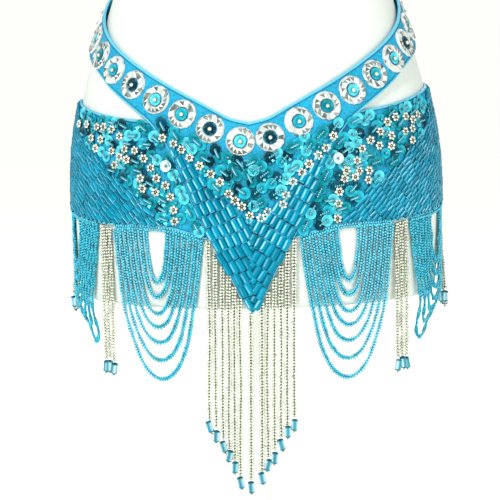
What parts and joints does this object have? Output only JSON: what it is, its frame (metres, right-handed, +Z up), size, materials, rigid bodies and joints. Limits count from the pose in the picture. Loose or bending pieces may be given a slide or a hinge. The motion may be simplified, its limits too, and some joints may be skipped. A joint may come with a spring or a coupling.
{
  "type": "belly dance hip belt on a hip form",
  "caption": "Beaded satin hip belt with a V front, ring appliques, nested bead swags and hanging strands, on a smooth limbless hip form with a pole and round base.",
  "frame": {"origin": "centre of the base's underside, which is also the bottom centre of the whole part's box", "axes": "+Z up along the stand's pole, -Y towards the belt's front, +X towards the right of the picture"},
  "size_m": [0.3466, 0.28, 0.6039],
  "materials": {
    "satin": "sky blue satin with sewn beads and sequins",
    "clear_ring": "clear cut rings with a silvered back",
    "blue_beads": "glossy transparent blue beads",
    "silver_beads": "silver-lined clear beads",
    "hook_metal": "plain plated hook plates",
    "form_shell": "white matt moulded shell",
    "stand_paint": "white satin paint"
  },
  "bodies": {
    "root": {"back_panel_left": "satin", "back_panel_right": "satin", "base": "stand_paint", "fringe_centre": "silver_beads", "hip_form": "form_shell", "hip_panel_left": "satin", "hip_panel_right": "satin", "hook_panel_lower": "hook_metal", "hook_panel_upper": "hook_metal", "hook_strap": "hook_metal", "pole": "stand_paint", "ring_left_1": "clear_ring", "ring_left_2": "clear_ring", "ring_left_3": "clear_ring", "ring_left_4": "clear_ring", "ring_left_5": "clear_ring", "ring_left_6": "clear_ring", "ring_left_7": "clear_ring", "ring_left_8": "clear_ring", "ring_left_9": "clear_ring", "ring_right_1": "clear_ring", "ring_right_2": "clear_ring", "ring_right_3": "clear_ring", "ring_right_4": "clear_ring", "ring_right_5": "clear_ring", "ring_right_6": "clear_ring", "ring_right_7": "clear_ring", "ring_right_8": "clear_ring", "ring_right_9": "clear_ring", "strands_rear_left": "silver_beads", "strands_rear_right": "silver_beads", "strands_side_left": "silver_beads", "strands_side_right": "silver_beads", "strap_back_left": "satin", "strap_back_right": "satin", "swags_front_left": "blue_beads", "swags_front_right": "blue_beads", "swags_side_left": "blue_beads", "swags_side_right": "blue_beads", "yoke": "satin"}
  },
  "joints": []
}
